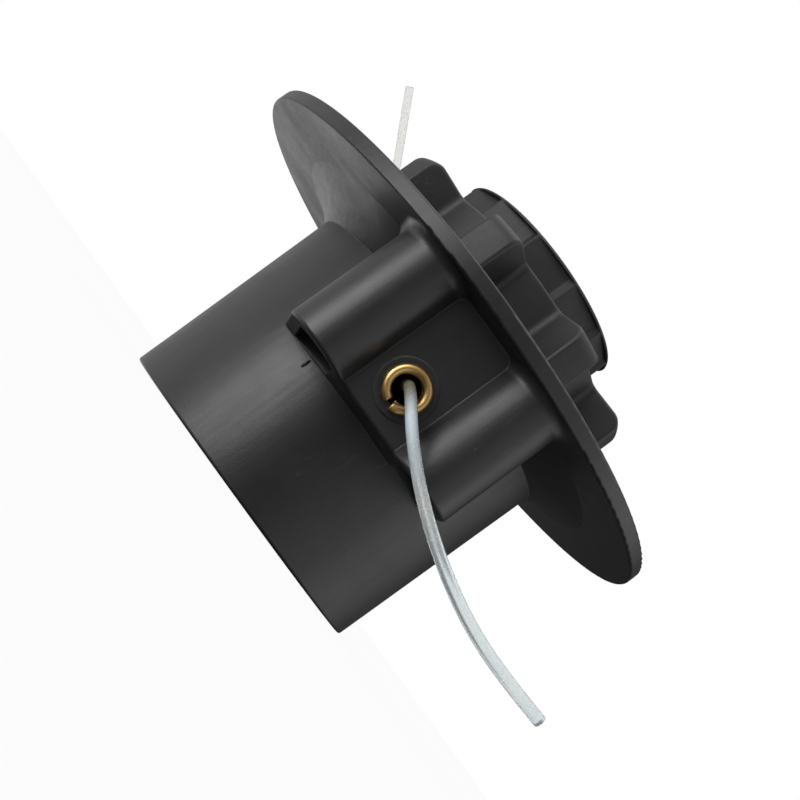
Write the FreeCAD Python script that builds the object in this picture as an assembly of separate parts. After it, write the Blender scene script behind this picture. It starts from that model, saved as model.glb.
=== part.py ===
import FreeCAD, Part
import math
import os

# Bump feed trimmer head, in millimetres.
# Z runs along the spindle, from the skirt's open rim at Z = 0 up to the bump button.
# The front line outlet points along -Y and the rear outlet along +Y.

# Skirt, flare and flange
SKIRT_RIM_R = 25.5
SKIRT_WALL = 2.2
SKIRT_DRAFT = 0.6
SKIRT_HEIGHT = 38.5
RIM_EDGE = 0.4
FLARE_HEIGHT = 3.6
FLARE_REACH = 8.2
FLARE_BOW = 0.6
FLANGE_R = 45.0
FLANGE_THICK = 2.3
FLANGE_EDGE = 0.35

# Web, hub boss, stiffening ribs and spindle post
MOUTH_DEPTH = 6.0
BOSS_WALL = 2.6
BOSS_HEIGHT = 6.0
WEB_THICK = 2.5
RIB_COUNT = 6
RIB_THICK = 1.6
RIB_INSET = 1.2
POST_WALL = 1.8
POST_ROOF = 2.0
POST_RISE = 9.8

# Steel drive insert
DRIVE_BORE_R = 3.4
INSERT_WALL = 2.2
INSERT_HEX_AF = 17.0
INSERT_HEX_HEIGHT = 5.0
INSERT_LENGTH = 12.0

# Line outlets: a channel between two hollow ridges, with an eyelet on the channel floor
OUTLET_LENGTH = 19.3
OUTLET_HALF_WIDTH = 16.4
OUTLET_EDGE = 0.5
RIDGE_INSET = 3.1
RIDGE_R = 5.6
RIDGE_WALL = 2.2
RIDGE_ROOT = 1.5
CHANNEL_DEPTH = 4.1
EYELET_DROP = 13.2
DUCT_R = 2.3
EYELET_PAD_R = 4.2
EYELET_PAD_HEIGHT = 0.35

# Brass eyelets
EYELET_BORE_R = 2.0
EYELET_WALL = 0.7
EYELET_LIP_R = 3.35
EYELET_LIP_HEIGHT = 1.3
EYELET_LIP_RIM = 0.45
EYELET_SHANK = 5.0
EYELET_SPLIT = 0.7

# Spool, index lugs and bump travel
BUMP_TRAVEL = 4.5
SPOOL_HUB_WALL = 2.2
SPOOL_PLATE = 1.8
SPOOL_DIVIDER = 1.4
SPOOL_RUN = 1.9
SPOOL_NOTCH = 3.0
SHOULDER_THICK = 3.2
INDEX_COUNT = 6
INDEX_WIDTH = 8.0
INDEX_OFFSET = 10.0
INDEX_BITE = 1.4
INDEX_RIB_HEIGHT = 3.0
FACE_LUG_HEIGHT = 2.0
FACE_LUG_LENGTH = 5.0
COLLAR_HEIGHT = 6.0
COLLAR_WALL = 2.0
SNAP_BEAD = 0.3
SNAP_DROP = 1.2

# Compression spring and thrust washer
SPRING_WIRE_R = 0.7
SPRING_TURNS = 6.5
SPRING_STEPS = 12
WASHER_THICK = 1.2

# Lobed cap with its bayonet spigot
CAP_HEIGHT = 11.3
CAP_WALL = 2.6
CAP_EDGE = 2.2
LOBE_DEPTH = 6.75
LOBE_CORNER = 0.6
FLUTE_COUNT = 8
FLUTE_FLOOR = 23.0
FLUTE_FLARE = 32.0
FLUTE_CORNER = 1.5
FLUTE_PHASE = 1.8
SPIGOT_DEPTH = 4.3
BAYONET_COUNT = 3
BAYONET_WIDTH = 22.0
BAYONET_TURN = 30.0
BAYONET_REACH = 1.5
BAYONET_THICK = 1.8
BAYONET_LEDGE = 1.8
BAYONET_PHASE = 30.0

# Bump button
BUTTON_R = 17.3
BUTTON_WALL = 3.0
BUTTON_ROOF = 2.4
BUTTON_STANDOUT = 5.2
BUTTON_EDGE = 0.8
BUTTON_DOME = 0.8
GRIP_COUNT = 12
GRIP_STEP = 1.0
GRIP_STEP_WIDTH = 2.8
GRIP_LENGTH = 8.0
GRIP_RIM = 0.5
GRIP_PHASE = -20.0

# Nylon line, and the routes of its two free ends
LINE_R = 0.8
WINDING_LAYERS = 5
LINE_FRONT_ROUTE = [
    (-0.3, -29.5, 26.0),
    (-0.7, -36.8, 26.3),
    (0.8, -40.6, 25.0),
    (4.6, -43.9, 21.8),
    (10.5, -49.0, 18.0),
    (17.5, -52.8, 15.05),
    (25.0, -54.6, 13.3),
    (32.4, -54.9, 13.0),
    (38.9, -54.0, 13.5),
]
LINE_REAR_ROUTE = [
    (0.9, 29.5, 25.6),
    (0.3, 34.5, 25.2),
    (-0.9, 40.2, 26.0),
    (-4.2, 45.0, 30.0),
    (-9.0, 48.2, 35.6),
    (-14.6, 50.0, 41.6),
    (-20.4, 50.7, 47.9),
    (-26.3, 50.3, 54.3),
    (-32.0, 49.0, 60.5),
    (-37.2, 47.0, 65.4),
    (-41.9, 44.5, 69.9),
]
ARC_SHARE = 0.45

# Largest share of a wall that a rounded edge may take
EDGE_SHARE = 0.4

# Clearances: seated pieces, running fits, sliding pieces and end stops
SEAT_GAP = 0.05
RUN_GAP = 0.06
SLIDE_GAP = 0.35
STOP_GAP = 0.3
CUT_SPARE = 1.0

# Radii that follow from the driving dimensions
CHAMBER_R = SKIRT_RIM_R - SKIRT_WALL
SKIRT_TOP_R = SKIRT_RIM_R + SKIRT_DRAFT
FLARE_R = SKIRT_TOP_R + FLARE_REACH
INSERT_R = DRIVE_BORE_R + INSERT_WALL
BOSS_R = INSERT_HEX_AF / math.sqrt(3) + BOSS_WALL
POST_R = INSERT_R + POST_WALL
SPRING_R = POST_R + SLIDE_GAP + 2 * SPRING_WIRE_R
HUB_BORE_R = SPRING_R + SPRING_WIRE_R + SLIDE_GAP
HUB_R = HUB_BORE_R + SPOOL_HUB_WALL
SPOOL_R = CHAMBER_R - SPOOL_RUN
RIDGE_CREST = FLANGE_R - RIDGE_INSET
CHANNEL_FLOOR = RIDGE_CREST - CHANNEL_DEPTH
EYELET_SHANK_R = EYELET_BORE_R + EYELET_WALL
COLLAR_R = BUTTON_R - BUTTON_WALL - SEAT_GAP
CAP_BORE_R = BUTTON_R + SLIDE_GAP
CAP_VALLEY_R = CAP_BORE_R + CAP_WALL
CAP_R = CAP_VALLEY_R + LOBE_DEPTH
SPIGOT_R = CHAMBER_R - STOP_GAP
BAYONET_R = CHAMBER_R + BAYONET_REACH

# Heights that follow from the driving dimensions
FLANGE_TOP = SKIRT_HEIGHT + FLANGE_THICK
FLARE_Z = SKIRT_HEIGHT - FLARE_HEIGHT
OUTLET_Z = SKIRT_HEIGHT - OUTLET_LENGTH
EYELET_Z = SKIRT_HEIGHT - EYELET_DROP
WEB_Z = MOUTH_DEPTH + BOSS_HEIGHT
WEB_TOP = WEB_Z + WEB_THICK
INSERT_TOP = MOUTH_DEPTH + INSERT_LENGTH
SPIGOT_Z = FLANGE_TOP - SPIGOT_DEPTH
SPOOL_TOP = SPIGOT_Z - STOP_GAP
SHOULDER_Z = SPOOL_TOP - SHOULDER_THICK
WASHER_Z = SHOULDER_Z - SEAT_GAP - WASHER_THICK
SPOOL_BASE = WEB_TOP + FACE_LUG_HEIGHT + BUMP_TRAVEL + STOP_GAP
POST_TOP = SPOOL_TOP + POST_RISE
CAP_Z = FLANGE_TOP + SEAT_GAP
CAP_TOP = FLANGE_TOP + CAP_HEIGHT
BUTTON_TOP = CAP_TOP + BUTTON_STANDOUT
SNAP_Z = SPOOL_TOP + COLLAR_HEIGHT - SNAP_DROP

V = FreeCAD.Vector
UP = V(0, 0, 1)
CENTRE = V(0, 0, 0)
HALF_TURN = 180.0
TINY = 1e-6
SHARP_ANGLE = 0.3


def disc(radius, low, high):
    """Round plug about the spindle, between two heights."""
    return Part.makeCylinder(radius, high - low, V(0, 0, low))


def ring(outer, inner, low, high):
    """Tube about the spindle, between two heights."""
    return disc(outer, low, high).cut(disc(inner, low, high))


def turned(edges):
    """Solid of revolution from the edges of a closed outline in the XZ plane."""
    outline = Part.Wire([edge.toShape() for edge in edges])
    return Part.Face(outline).revolve(CENTRE, UP, 360)


def straight(points):
    """Straight edges through (radius, height) points in the XZ plane."""
    corners = [V(radius, 0, height) for radius, height in points]
    return [Part.LineSegment(start, end) for start, end in zip(corners, corners[1:])]


def turned_polygon(points):
    """Solid of revolution from a closed polygon of (radius, height) points."""
    return turned(straight(points + points[:1]))


def spun(shape, angle):
    """Copy of a shape turned about the spindle by an angle in degrees."""
    copy = shape.copy()
    copy.rotate(CENTRE, UP, angle)
    return copy


def pattern(shape, count, phase=0.0):
    """Copies of a shape, evenly spaced round the spindle."""
    return [spun(shape, phase + 360.0 * step / count) for step in range(count)]


def sector(inner, outer, width, low, high):
    """Part of a ring that is `width` degrees wide and centred on +X."""
    wedge = Part.makeCylinder(outer, high - low, V(0, 0, low), UP, width)
    return spun(wedge.cut(disc(inner, low, high)), -width / 2)


def circles_at(shape, radius, heights):
    """Round edges of a shape with a given radius, at the given heights."""
    found = []
    for edge in shape.Edges:
        if edge.Degenerated or not isinstance(edge.Curve, Part.Circle):
            continue
        at_height = any(abs(edge.Curve.Center.z - height) < TINY for height in heights)
        if at_height and abs(edge.Curve.Radius - radius) < TINY:
            found.append(edge)
    return found


def sharp_edges(shape, low):
    """Edges of a shape above a height at which its two faces meet at a clear angle."""
    found = []
    for edge in shape.Edges:
        faces = shape.ancestorsOfType(edge, Part.Face)
        if edge.BoundBox.ZMax < low + TINY or len(faces) < 2:
            continue
        middle = edge.valueAt((edge.FirstParameter + edge.LastParameter) / 2)
        first, second = [face.normalAt(*face.Surface.parameter(middle)) for face in faces]
        if first.getAngle(second) > SHARP_ANGLE:
            found.append(edge)
    return found


def cleaned(shape):
    """Shape with the seams between its merged faces removed."""
    return shape.removeSplitter()


def flare_edge():
    """Hollow-bowed profile of the flare, from the skirt out to the flange."""
    start = V(SKIRT_TOP_R, 0, FLARE_Z)
    end = V(FLARE_R, 0, SKIRT_HEIGHT)
    chord = end.sub(start)
    inwards = V(-chord.z, 0, chord.x).normalize()
    middle = start.add(end).multiply(0.5).add(inwards.multiply(FLARE_BOW))
    return Part.Arc(start, middle, end)


def skirt_and_flange():
    """Outside of the skirt, its flare and the flange, still solid inside."""
    below = straight([(0, FLANGE_TOP), (0, 0), (SKIRT_RIM_R, 0), (SKIRT_TOP_R, FLARE_Z)])
    above = straight([
        (FLARE_R, SKIRT_HEIGHT),
        (FLANGE_R, SKIRT_HEIGHT),
        (FLANGE_R, FLANGE_TOP),
        (0, FLANGE_TOP),
    ])
    body = turned(below + [flare_edge()] + above)
    flange_edge = min(FLANGE_EDGE, EDGE_SHARE * FLANGE_THICK)
    body = body.makeFillet(flange_edge, circles_at(body, FLANGE_R, (SKIRT_HEIGHT, FLANGE_TOP)))
    rim_edge = min(RIM_EDGE, EDGE_SHARE * SKIRT_WALL)
    return body.makeFillet(rim_edge, circles_at(body, SKIRT_RIM_R, (0,)))


def outlet_face():
    """Cross-section of a line outlet on -Y: channel floor between two round ridges."""
    middle = OUTLET_HALF_WIDTH - RIDGE_R
    centre = RIDGE_CREST - RIDGE_R
    foot = middle - math.sqrt(RIDGE_R ** 2 - (CHANNEL_FLOOR - centre) ** 2)
    left_side = V(-OUTLET_HALF_WIDTH, -centre, OUTLET_Z)
    right_side = V(OUTLET_HALF_WIDTH, -centre, OUTLET_Z)
    left_foot = V(-foot, -CHANNEL_FLOOR, OUTLET_Z)
    right_foot = V(foot, -CHANNEL_FLOOR, OUTLET_Z)
    left_root = V(-OUTLET_HALF_WIDTH, 0, OUTLET_Z)
    right_root = V(OUTLET_HALF_WIDTH, 0, OUTLET_Z)
    edges = [
        Part.LineSegment(left_root, left_side),
        Part.Arc(left_side, V(-middle, -RIDGE_CREST, OUTLET_Z), left_foot),
        Part.LineSegment(left_foot, right_foot),
        Part.Arc(right_foot, V(middle, -RIDGE_CREST, OUTLET_Z), right_side),
        Part.LineSegment(right_side, right_root),
        Part.LineSegment(right_root, left_root),
    ]
    return Part.Face(Part.Wire([edge.toShape() for edge in edges]))


def outlet_block():
    """Line outlet on -Y, from its free end up to the flange, with a softened free end."""
    block = outlet_face().extrude(V(0, 0, OUTLET_LENGTH))
    outer = [
        edge for edge in block.Edges
        if edge.BoundBox.ZMax < OUTLET_Z + TINY and edge.BoundBox.YMin < -SKIRT_TOP_R
    ]
    block = block.makeFillet(min(OUTLET_EDGE, EDGE_SHARE * RIDGE_WALL), outer)
    pad = Part.makeCylinder(EYELET_PAD_R, EYELET_PAD_HEIGHT + CUT_SPARE,
                            V(0, CUT_SPARE - CHANNEL_FLOOR, EYELET_Z), V(0, -1, 0))
    return block.fuse(pad)


def ridge_pocket(side):
    """Hollow of one ridge, open at the outlet's free end. `side` is 1 or -1."""
    inner_r = RIDGE_R - RIDGE_WALL
    middle = side * (OUTLET_HALF_WIDTH - RIDGE_R)
    centre = RIDGE_CREST - RIDGE_R
    start = OUTLET_Z - CUT_SPARE
    near = V(middle - inner_r, -centre, start)
    far = V(middle + inner_r, -centre, start)
    edges = [
        Part.Arc(near, V(middle, -centre - inner_r, start), far),
        Part.LineSegment(far, V(far.x, 0, start)),
        Part.LineSegment(V(far.x, 0, start), V(near.x, 0, start)),
        Part.LineSegment(V(near.x, 0, start), near),
    ]
    hollow = Part.Face(Part.Wire([edge.toShape() for edge in edges]))
    hollow = hollow.extrude(V(0, 0, FLARE_Z - start))
    return hollow.cut(disc(SKIRT_TOP_R, start, FLARE_Z))


def line_duct():
    """Way of the line from the spool chamber out through the eyelet's seat, on -Y."""
    duct = Part.makeCylinder(DUCT_R, CHANNEL_FLOOR, V(0, 0, EYELET_Z), V(0, -1, 0))
    depth = EYELET_SHANK + SEAT_GAP + EYELET_PAD_HEIGHT
    mouth = V(0, -CHANNEL_FLOOR - EYELET_PAD_HEIGHT + depth, EYELET_Z)
    seat = Part.makeCylinder(EYELET_SHANK_R + SEAT_GAP, depth + CUT_SPARE, mouth, V(0, -1, 0))
    return duct.fuse(seat)


def hexagon(across_flats, low, high):
    """Hexagonal plug about the spindle."""
    corner_r = across_flats / math.sqrt(3)
    corners = [V(corner_r, 0, low)]
    for step in range(1, 7):
        angle = math.radians(60 * step)
        corners.append(V(corner_r * math.cos(angle), corner_r * math.sin(angle), low))
    return Part.Face(Part.makePolygon(corners)).extrude(V(0, 0, high - low))


def hub():
    """Web across the skirt, the boss and ribs below it, and the spindle post above it."""
    web = disc(CHAMBER_R + SKIRT_WALL / 2, WEB_Z, WEB_TOP)
    boss = disc(BOSS_R, MOUTH_DEPTH, WEB_TOP)
    post = disc(POST_R, WEB_Z, POST_TOP)
    core = disc(POST_R - POST_WALL, INSERT_TOP + POST_ROOF, POST_TOP)
    rib = Part.makeBox(CHAMBER_R + SKIRT_WALL / 2, RIB_THICK, BOSS_HEIGHT - RIB_INSET,
                       V(0, -RIB_THICK / 2, MOUTH_DEPTH + RIB_INSET))
    body = web.fuse([boss, post] + pattern(rib, RIB_COUNT, HALF_TURN / RIB_COUNT))
    hex_pocket = hexagon(INSERT_HEX_AF + 2 * SEAT_GAP, MOUTH_DEPTH - CUT_SPARE,
                         MOUTH_DEPTH + INSERT_HEX_HEIGHT + SEAT_GAP)
    shank_pocket = disc(INSERT_R + SEAT_GAP, MOUTH_DEPTH, INSERT_TOP + SEAT_GAP)
    return body.cut([core, hex_pocket, shank_pocket])


def index_ribs():
    """Ribs on the chamber wall that hold the spool's rim lugs until the button is bumped."""
    rib = sector(CHAMBER_R - INDEX_BITE, CHAMBER_R + SKIRT_WALL / 2, INDEX_WIDTH,
                 SPOOL_TOP - INDEX_RIB_HEIGHT, SPOOL_TOP)
    return pattern(rib, INDEX_COUNT)


def web_lugs():
    """Lugs on the web that catch the spool while the button is held down."""
    outer = SPOOL_R - STOP_GAP
    lug = sector(outer - FACE_LUG_LENGTH, outer, INDEX_WIDTH, WEB_TOP, WEB_TOP + FACE_LUG_HEIGHT)
    return pattern(lug, INDEX_COUNT)


def bayonet_slots():
    """Grooves in the chamber wall, each with a way in from the flange's top."""
    low = SPIGOT_Z - CUT_SPARE
    ledge = FLANGE_TOP - BAYONET_LEDGE
    outer = BAYONET_R + STOP_GAP
    width = BAYONET_WIDTH + 2 * math.degrees(STOP_GAP / BAYONET_R)
    inner = CHAMBER_R - CUT_SPARE
    groove = spun(sector(inner, outer, width + BAYONET_TURN, low, ledge), BAYONET_TURN / 2)
    entry = spun(sector(inner, outer, width, low, FLANGE_TOP + CUT_SPARE), BAYONET_TURN)
    return pattern(groove.fuse(entry), BAYONET_COUNT, BAYONET_PHASE)


def housing():
    """One moulding: skirt, flare, flange, line outlets, web, boss, post, ribs and lugs."""
    blocks = pattern(outlet_block(), 2)
    body = cleaned(skirt_and_flange().fuse(blocks))
    body = body.makeFillet(RIDGE_ROOT, circles_at(body, RIDGE_R, (SKIRT_HEIGHT,)))
    bore = disc(CHAMBER_R, -CUT_SPARE, FLANGE_TOP + CUT_SPARE)
    pockets = pattern(ridge_pocket(1), 2) + pattern(ridge_pocket(-1), 2)
    body = body.cut([bore] + pockets + bayonet_slots())
    body = body.fuse([hub()] + index_ribs() + web_lugs())
    return cleaned(body.cut(pattern(line_duct(), 2)))


def drive_insert():
    """Steel insert with the drive thread, held from turning by its hexagon."""
    head = hexagon(INSERT_HEX_AF, MOUTH_DEPTH, MOUTH_DEPTH + INSERT_HEX_HEIGHT)
    body = head.fuse(disc(INSERT_R, MOUTH_DEPTH, INSERT_TOP))
    return cleaned(body.cut(disc(DRIVE_BORE_R, MOUTH_DEPTH - CUT_SPARE, INSERT_TOP + CUT_SPARE)))


def eyelet():
    """Brass eyelet of the front outlet: rolled lip, shank and a split towards the skirt rim."""
    lip_mid = (EYELET_BORE_R + EYELET_LIP_R) / 2
    edges = [
        Part.LineSegment(V(EYELET_BORE_R, 0, -EYELET_SHANK), V(EYELET_SHANK_R, 0, -EYELET_SHANK)),
        Part.LineSegment(V(EYELET_SHANK_R, 0, -EYELET_SHANK), V(EYELET_SHANK_R, 0, 0)),
        Part.LineSegment(V(EYELET_SHANK_R, 0, 0), V(EYELET_LIP_R, 0, 0)),
        Part.LineSegment(V(EYELET_LIP_R, 0, 0), V(EYELET_LIP_R, 0, EYELET_LIP_RIM)),
        Part.Arc(V(EYELET_LIP_R, 0, EYELET_LIP_RIM), V(lip_mid, 0, EYELET_LIP_HEIGHT),
                 V(EYELET_BORE_R, 0, EYELET_LIP_RIM)),
        Part.LineSegment(V(EYELET_BORE_R, 0, EYELET_LIP_RIM), V(EYELET_BORE_R, 0, -EYELET_SHANK)),
    ]
    body = turned(edges)
    body = body.cut(Part.makeBox(EYELET_LIP_R + CUT_SPARE, EYELET_SPLIT, EYELET_LIP_HEIGHT + EYELET_SHANK,
                                 V(0, -EYELET_SPLIT / 2, -EYELET_SHANK)))
    body.rotate(CENTRE, UP, -90)
    body.rotate(CENTRE, V(1, 0, 0), 90)
    body.translate(V(0, -CHANNEL_FLOOR - EYELET_PAD_HEIGHT, EYELET_Z))
    return body


def spool():
    """Two-chamber spool with rim lugs, face lugs and the collar that carries the button."""
    divider_z = (SPOOL_BASE + SPOOL_TOP - SPOOL_DIVIDER) / 2
    body = ring(HUB_R, HUB_BORE_R, SPOOL_BASE, SPOOL_TOP)
    body = body.fuse([
        ring(HUB_R, POST_R + RUN_GAP, SHOULDER_Z, SPOOL_TOP),
        ring(SPOOL_R, HUB_BORE_R, SPOOL_BASE, SPOOL_BASE + SPOOL_PLATE),
        ring(SPOOL_R, HUB_BORE_R, divider_z, divider_z + SPOOL_DIVIDER),
        ring(SPOOL_R, HUB_BORE_R, SPOOL_TOP - SPOOL_PLATE, SPOOL_TOP),
    ])
    bead = COLLAR_R + SNAP_BEAD
    collar = turned_polygon([
        (COLLAR_R - COLLAR_WALL, SPOOL_TOP - SPOOL_PLATE / 2),
        (COLLAR_R, SPOOL_TOP - SPOOL_PLATE / 2),
        (COLLAR_R, SNAP_Z - 2 * SNAP_BEAD),
        (bead, SNAP_Z),
        (COLLAR_R, SNAP_Z + 2 * SNAP_BEAD),
        (COLLAR_R, SPOOL_TOP + COLLAR_HEIGHT),
        (COLLAR_R - COLLAR_WALL, SPOOL_TOP + COLLAR_HEIGHT),
    ])
    rim_lug = sector(SPOOL_R - SPOOL_PLATE, CHAMBER_R - SLIDE_GAP, INDEX_WIDTH,
                     SPOOL_TOP - SPOOL_PLATE, SPOOL_TOP)
    outer = SPOOL_R - STOP_GAP
    face_lug = sector(outer - FACE_LUG_LENGTH, outer, INDEX_WIDTH,
                      SPOOL_BASE - FACE_LUG_HEIGHT, SPOOL_BASE + SPOOL_PLATE / 2)
    lugs = pattern(rim_lug, INDEX_COUNT, INDEX_OFFSET)
    lugs += pattern(face_lug, INDEX_COUNT, HALF_TURN / INDEX_COUNT / 2)
    body = body.fuse([collar] + lugs)
    notch = Part.makeBox(SPOOL_R, SPOOL_NOTCH, SPOOL_DIVIDER + SPOOL_NOTCH,
                         V(SPOOL_R - SPOOL_NOTCH, -SPOOL_NOTCH / 2, divider_z - SPOOL_NOTCH / 2))
    return cleaned(body.cut(pattern(notch, 2, HALF_TURN / 4)))


def line_winding(low, high):
    """Line wound in one spool chamber, with the round turns of its outer layer."""
    turns = int((high - low) / (2 * LINE_R))
    pitch = (high - low) / turns
    inner = HUB_R + SEAT_GAP
    outer = inner + 2 * LINE_R * WINDING_LAYERS - LINE_R
    edges = straight([(outer, high), (inner, high), (inner, low), (outer, low)])
    for turn in range(turns):
        start = low + pitch * turn
        bulge = V(outer + LINE_R, 0, start + pitch / 2)
        edges.append(Part.Arc(V(outer, 0, start), bulge, V(outer, 0, start + pitch)))
    return turned(edges)


def line_windings():
    """Lower and upper winding of the spool."""
    divider_z = (SPOOL_BASE + SPOOL_TOP - SPOOL_DIVIDER) / 2
    lower = line_winding(SPOOL_BASE + SPOOL_PLATE + SEAT_GAP, divider_z - SEAT_GAP)
    upper = line_winding(divider_z + SPOOL_DIVIDER + SEAT_GAP, SPOOL_TOP - SPOOL_PLATE - SEAT_GAP)
    return lower, upper


def thrust_washer():
    """Steel washer between the spring and the spool's shoulder."""
    return ring(HUB_BORE_R - SLIDE_GAP, POST_R + SLIDE_GAP, WASHER_Z, WASHER_Z + WASHER_THICK)


def flute(floor_r, outer_r, floor_width, flare, corner, low, high):
    """Cutter of a finger flute on -Y: a round floor between two flared walls, with rounded corners."""
    half = math.radians(floor_width / 2)
    side = floor_r * math.sin(half)
    depth = floor_r * math.cos(half)
    mouth = outer_r + CUT_SPARE
    mouth_side = side + (mouth - depth) * math.tan(math.radians(flare))
    left = V(-side, -depth, low)
    right = V(side, -depth, low)
    mouth_left = V(-mouth_side, -mouth, low)
    mouth_right = V(mouth_side, -mouth, low)
    edges = [
        Part.Arc(left, V(0, -floor_r, low), right),
        Part.LineSegment(right, mouth_right),
        Part.LineSegment(mouth_right, mouth_left),
        Part.LineSegment(mouth_left, left),
    ]
    cutter = Part.Face(Part.Wire([edge.toShape() for edge in edges])).extrude(V(0, 0, high - low))
    upright = [edge for edge in cutter.Edges if edge.BoundBox.ZLength > TINY]
    inner = [edge for edge in upright if edge.BoundBox.YMax > -depth - TINY]
    return cutter.makeFillet(corner, inner)


def cap():
    """Lobed cap: eight finger flutes round the button's bore, on a bayonet spigot."""
    grip = disc(CAP_R, CAP_Z, CAP_TOP)
    grip = grip.makeFillet(CAP_EDGE, circles_at(grip, CAP_R, (CAP_TOP,)))
    cutter = flute(CAP_VALLEY_R, CAP_R, FLUTE_FLOOR, FLUTE_FLARE, FLUTE_CORNER,
                   CAP_Z - CUT_SPARE, CAP_TOP + CUT_SPARE)
    grip = grip.cut(pattern(cutter, FLUTE_COUNT, FLUTE_PHASE))
    grip = grip.makeFillet(LOBE_CORNER, sharp_edges(grip, CAP_Z))
    spigot = disc(SPIGOT_R, SPIGOT_Z, CAP_Z)
    ledge = FLANGE_TOP - BAYONET_LEDGE - STOP_GAP
    lug = sector(SPIGOT_R - CUT_SPARE, BAYONET_R, BAYONET_WIDTH, ledge - BAYONET_THICK, ledge)
    body = grip.fuse([spigot] + pattern(lug, BAYONET_COUNT, BAYONET_PHASE))
    return cleaned(body.cut(disc(CAP_BORE_R, SPIGOT_Z - CUT_SPARE, CAP_TOP + CUT_SPARE)))


def grip_facet():
    """Cutter of one flat on the button: it runs in from a crest on -Y and ends at a small step."""
    high = BUTTON_TOP - GRIP_RIM
    width = 360.0 / GRIP_COUNT
    clear = BUTTON_R + CUT_SPARE
    corners = []
    for radius, angle in (
        (BUTTON_R, 0),
        (BUTTON_R - GRIP_STEP, width - GRIP_STEP_WIDTH),
        (clear, width + GRIP_STEP_WIDTH * CUT_SPARE / GRIP_STEP),
        (clear + CUT_SPARE, width / 2),
        (clear, 0),
        (BUTTON_R, 0),
    ):
        turn = math.radians(angle)
        corners.append(V(radius * math.sin(turn), -radius * math.cos(turn), high - GRIP_LENGTH))
    return Part.Face(Part.makePolygon(corners)).extrude(V(0, 0, GRIP_LENGTH))


def bump_button():
    """Domed cup that stands out of the cap, snapped over the spool's collar."""
    low = SPOOL_TOP + SEAT_GAP
    inner = BUTTON_R - BUTTON_WALL
    dome_r = (BUTTON_R ** 2 + BUTTON_DOME ** 2) / (2 * BUTTON_DOME)
    body = disc(BUTTON_R, low, BUTTON_TOP + BUTTON_DOME)
    ball = Part.makeSphere(dome_r, V(0, 0, BUTTON_TOP + BUTTON_DOME - dome_r))
    body = body.common(ball)
    body = body.makeFillet(BUTTON_EDGE, circles_at(body, BUTTON_R, (BUTTON_TOP,)))
    groove = inner + SNAP_BEAD
    hollow = turned_polygon([
        (0, low - CUT_SPARE),
        (inner, low - CUT_SPARE),
        (inner, SNAP_Z - 2 * SNAP_BEAD),
        (groove, SNAP_Z),
        (inner, SNAP_Z + 2 * SNAP_BEAD),
        (inner, BUTTON_TOP - BUTTON_ROOF),
        (0, BUTTON_TOP - BUTTON_ROOF),
    ])
    return cleaned(body.cut([hollow] + pattern(grip_facet(), GRIP_COUNT, GRIP_PHASE)))


def rounded_path(route):
    """Straight runs joined by tangent arcs through a route, and the arcs' radii."""
    points = [V(*point) for point in route]
    edges = []
    radii = []
    start = points[0]
    for before, corner, after in zip(points, points[1:], points[2:]):
        back = before.sub(corner)
        ahead = after.sub(corner)
        reach = ARC_SHARE * min(back.Length, ahead.Length)
        turn = math.pi - back.getAngle(ahead)
        radii.append(reach / math.tan(turn / 2))
        back.normalize()
        ahead.normalize()
        enter = corner.add(V(back).multiply(reach))
        leave = corner.add(V(ahead).multiply(reach))
        inwards = back.add(ahead)
        inwards.normalize()
        middle = corner.add(inwards.multiply(radii[-1] * (1 / math.cos(turn / 2) - 1)))
        edges.append(Part.LineSegment(start, enter).toShape())
        edges.append(Part.Arc(enter, middle, leave).toShape())
        start = leave
    edges.append(Part.LineSegment(start, points[-1]).toShape())
    return Part.Wire(edges), radii


def swept(route, radius):
    """Round bar along the rounded path of a route, with that path and its radii."""
    path, radii = rounded_path(route)
    first = V(*route[1]).sub(V(*route[0]))
    section = Part.Wire(Part.makeCircle(radius, V(*route[0]), first))
    return path.makePipeShell([section], True, False), path, radii


def compression_spring():
    """Coil spring round the post, from the web up to the thrust washer."""
    low = WEB_TOP + SPRING_WIRE_R + SEAT_GAP
    height = WASHER_Z - SPRING_WIRE_R - SEAT_GAP - low
    corners = int(SPRING_TURNS * SPRING_STEPS)
    corner_r = SPRING_R / math.cos(math.pi / SPRING_STEPS)
    places = [(SPRING_R, 0)]
    places += [(corner_r, corner + 0.5) for corner in range(corners)]
    places += [(SPRING_R, corners)]
    route = []
    for radius, step in places:
        angle = 2 * math.pi * step / SPRING_STEPS
        route.append((radius * math.cos(angle), radius * math.sin(angle), low + height * step / corners))
    return swept(route, SPRING_WIRE_R)[0]


def line_end(name, route):
    """Free end of the nylon line along its route."""
    tube, path, radii = swept(route, LINE_R)
    expected = math.pi * LINE_R ** 2 * path.Length
    print(name, "length %.1f" % path.Length, "radii", ["%.1f" % radius for radius in radii],
          "volume %.2f of %.2f" % (tube.Volume, expected))
    return tube


def build():
    """Every piece of the trimmer head, by the name of its node."""
    front_eyelet = eyelet()
    lower_winding, upper_winding = line_windings()
    return {
        "housing": housing(),
        "drive_insert": drive_insert(),
        "eyelet_front": front_eyelet,
        "eyelet_rear": spun(front_eyelet, HALF_TURN),
        "compression_spring": compression_spring(),
        "thrust_washer": thrust_washer(),
        "spool": spool(),
        "line_winding_lower": lower_winding,
        "line_winding_upper": upper_winding,
        "bump_button": bump_button(),
        "cap": cap(),
        "line_end_front": line_end("front line", LINE_FRONT_ROUTE),
        "line_end_rear": line_end("rear line", LINE_REAR_ROUTE),
    }


def main():
    """Write one STEP file for each piece."""
    os.makedirs("parts", exist_ok=True)
    for node, shape in build().items():
        if not shape.isValid():
            raise ValueError(node + " is not a valid solid")
        print(node, "solids", len(shape.Solids), "volume %.1f" % shape.Volume)
        shape.exportStep("parts/" + node + ".step")


main()
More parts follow.
